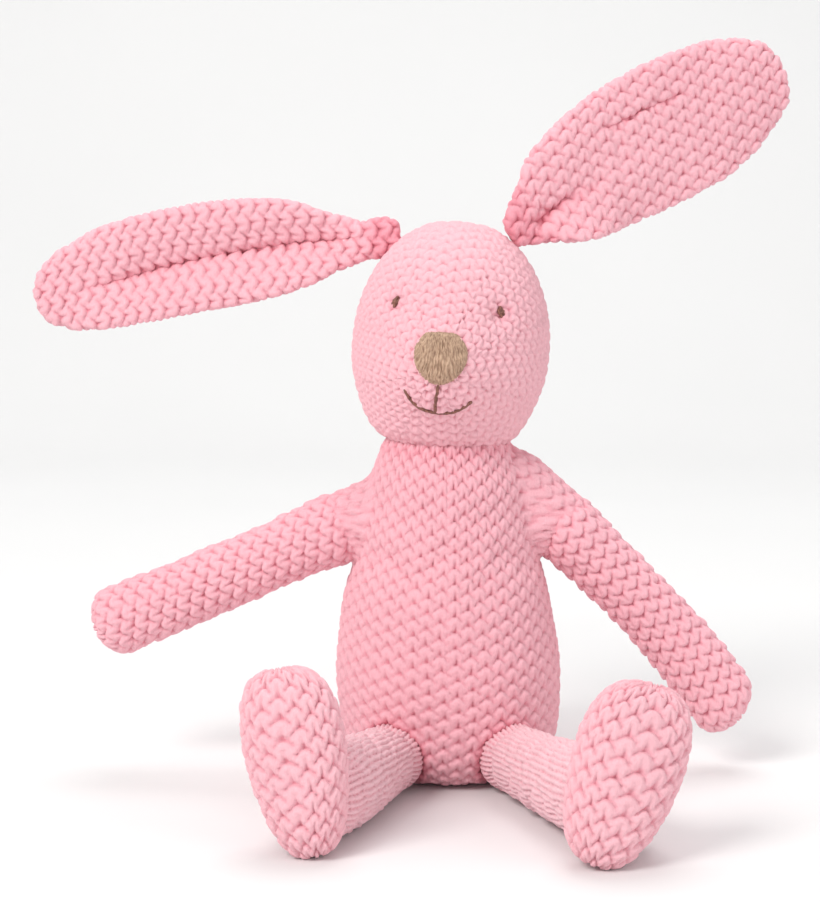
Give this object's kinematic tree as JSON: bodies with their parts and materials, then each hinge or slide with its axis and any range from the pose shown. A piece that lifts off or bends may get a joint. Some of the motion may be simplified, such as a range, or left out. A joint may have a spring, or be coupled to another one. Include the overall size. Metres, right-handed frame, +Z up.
{
  "type": "stuffed rabbit toy",
  "caption": "Sitting knitted rabbit toy with long floppy ears, a stuffed pear-shaped torso, and stuffed arms, legs and feet that bend at their sewn joints.",
  "frame": {"origin": "centre of the flat seat under the torso, on the surface that the rabbit sits on", "axes": "+Z up, the rabbit looks along -Y, its own left side is at +X"},
  "size_m": [0.3155, 0.1893, 0.2971],
  "materials": {
    "pink_knit": "chunky moss-stitch knit in soft pink yarn, matt with a light fuzz",
    "leg_knit": "finer plain stocking-stitch knit in pale pink yarn, matt",
    "stuffing": "white polyester fibre fill, matt",
    "seam_yarn": "doubled pink sewing yarn, matt",
    "brown_thread": "dark brown embroidery thread, slight sheen",
    "nose_thread": "tan satin-stitch embroidery, soft sheen"
  },
  "bodies": {
    "torso": {"torso_cover": "pink_knit", "torso_stuffing": "stuffing", "left_shoulder_seam": "seam_yarn", "right_shoulder_seam": "seam_yarn"},
    "neck": {"neck_knot": "seam_yarn"},
    "head": {"head_cover": "pink_knit", "head_stuffing": "stuffing", "neck_seam": "seam_yarn", "left_eye": "brown_thread", "right_eye": "brown_thread", "nose": "nose_thread", "mouth": "brown_thread", "left_ear_seam": "seam_yarn", "right_ear_seam": "seam_yarn"},
    "left_ear": {"left_ear_front": "pink_knit", "left_ear_back": "pink_knit"},
    "right_ear": {"right_ear_front": "pink_knit", "right_ear_back": "pink_knit"},
    "left_shoulder": {"left_shoulder_knot": "seam_yarn"},
    "left_arm": {"left_arm_cover": "pink_knit", "left_arm_stuffing": "stuffing"},
    "left_hip": {"left_hip_knot": "seam_yarn"},
    "left_leg": {"left_leg_cover": "leg_knit", "left_leg_stuffing": "stuffing"},
    "left_foot": {"left_foot_cover": "pink_knit", "left_foot_stuffing": "stuffing", "left_ankle_seam": "seam_yarn"},
    "right_shoulder": {"right_shoulder_knot": "seam_yarn"},
    "right_arm": {"right_arm_cover": "pink_knit", "right_arm_stuffing": "stuffing"},
    "right_hip": {"right_hip_knot": "seam_yarn"},
    "right_leg": {"right_leg_cover": "leg_knit", "right_leg_stuffing": "stuffing"},
    "right_foot": {"right_foot_cover": "pink_knit", "right_foot_stuffing": "stuffing", "right_ankle_seam": "seam_yarn"}
  },
  "joints": [
    {"name": "neck_turn", "type": "hinge", "parent": "torso", "child": "neck", "pos_m": [0, 0, 0.116], "axis": [0, 0, 1], "range_deg": [-45, 45], "stiffness_Nm_per_rad": 0.15},
    {"name": "neck_nod", "type": "hinge", "parent": "neck", "child": "head", "pos_m": [0, 0, 0.116], "axis": [1, 0, 0], "range_deg": [-15, 20], "stiffness_Nm_per_rad": 0.5},
    {"name": "left_ear_flop", "type": "hinge", "parent": "head", "child": "left_ear", "pos_m": [0.03026, -0.00016, 0.21585], "axis": [0.3746, -0.9272, 0], "range_deg": [-68, 50], "stiffness_Nm_per_rad": 0.08},
    {"name": "right_ear_flop", "type": "hinge", "parent": "head", "child": "right_ear", "pos_m": [-0.02719, 0.00588, 0.21433], "axis": [0.0872, 0.9962, 0], "range_deg": [-26, 90], "stiffness_Nm_per_rad": 0.08},
    {"name": "left_arm_swing", "type": "hinge", "parent": "torso", "child": "left_shoulder", "pos_m": [0.0474, 0, 0.0975], "axis": [0, 0, -1], "range_deg": [-25, 42], "stiffness_Nm_per_rad": 0.05},
    {"name": "left_arm_lift", "type": "hinge", "parent": "left_shoulder", "child": "left_arm", "pos_m": [0.0474, 0, 0.0975], "axis": [0, -1, 0], "range_deg": [-16, 62], "stiffness_Nm_per_rad": 0.08},
    {"name": "right_arm_swing", "type": "hinge", "parent": "torso", "child": "right_shoulder", "pos_m": [-0.0474, 0, 0.0975], "axis": [0, 0, 1], "range_deg": [-25, 42], "stiffness_Nm_per_rad": 0.05},
    {"name": "right_arm_lift", "type": "hinge", "parent": "right_shoulder", "child": "right_arm", "pos_m": [-0.0474, 0, 0.0975], "axis": [0, 1, 0], "range_deg": [-34, 44], "stiffness_Nm_per_rad": 0.08},
    {"name": "left_leg_splay", "type": "hinge", "parent": "torso", "child": "left_hip", "pos_m": [0.024, -0.038, 0.014], "axis": [0, 0, 1], "range_deg": [-14, 18], "stiffness_Nm_per_rad": 0.12},
    {"name": "left_leg_lift", "type": "hinge", "parent": "left_hip", "child": "left_leg", "pos_m": [0.024, -0.038, 0.014], "axis": [-0.9205, -0.3907, 0], "range_deg": [-60, 7], "stiffness_Nm_per_rad": 0.2},
    {"name": "right_leg_splay", "type": "hinge", "parent": "torso", "child": "right_hip", "pos_m": [-0.024, -0.038, 0.014], "axis": [0, 0, -1], "range_deg": [-14, 18], "stiffness_Nm_per_rad": 0.12},
    {"name": "right_leg_lift", "type": "hinge", "parent": "right_hip", "child": "right_leg", "pos_m": [-0.024, -0.038, 0.014], "axis": [-0.9336, 0.3584, 0], "range_deg": [-60, 7], "stiffness_Nm_per_rad": 0.2},
    {"name": "left_ankle_bend", "type": "hinge", "parent": "left_leg", "child": "left_foot", "pos_m": [0.05523, -0.11157, 0.01749], "axis": [-0.9703, -0.2419, 0], "range_deg": [-18, 25], "stiffness_Nm_per_rad": 0.05},
    {"name": "right_ankle_bend", "type": "hinge", "parent": "right_leg", "child": "right_foot", "pos_m": [-0.04835, -0.10142, 0.01697], "axis": [-0.9703, 0.2419, 0], "range_deg": [-18, 25], "stiffness_Nm_per_rad": 0.05}
  ]
}
